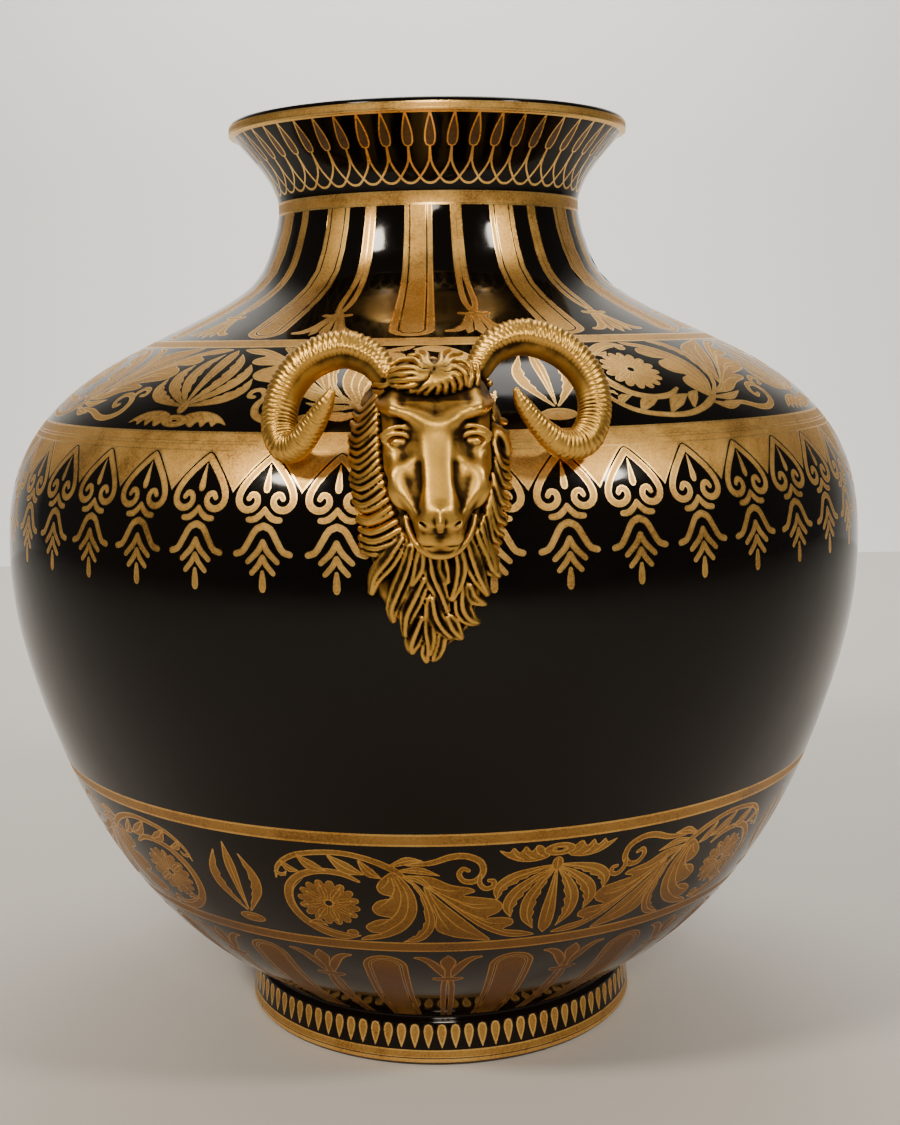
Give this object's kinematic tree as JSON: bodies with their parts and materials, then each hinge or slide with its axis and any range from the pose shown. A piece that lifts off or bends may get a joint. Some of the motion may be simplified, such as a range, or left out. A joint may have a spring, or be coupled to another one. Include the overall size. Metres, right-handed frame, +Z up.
{
  "type": "decorative vase",
  "caption": "Wide-bellied glazed porcelain vase, hollow, with a flared rim, a ring foot and a cast bronze ram's head mounted on its shoulder.",
  "frame": {"origin": "centre of the foot's underside, on the vase's axis", "axes": "+Z up along the vase's axis; the ram's head looks along -Y; +X is to the right of someone who faces the ram's head"},
  "size_m": [0.3844, 0.4083, 0.407],
  "materials": {
    "porcelain": "glossy black glaze with gilt ornament, which is colour and not relief",
    "bronze": "aged cast bronze, burnished on the high places and dark brown in the hollows"
  },
  "bodies": {
    "root": {"vase_body": "porcelain", "rams_head_mount": "bronze"}
  },
  "joints": []
}
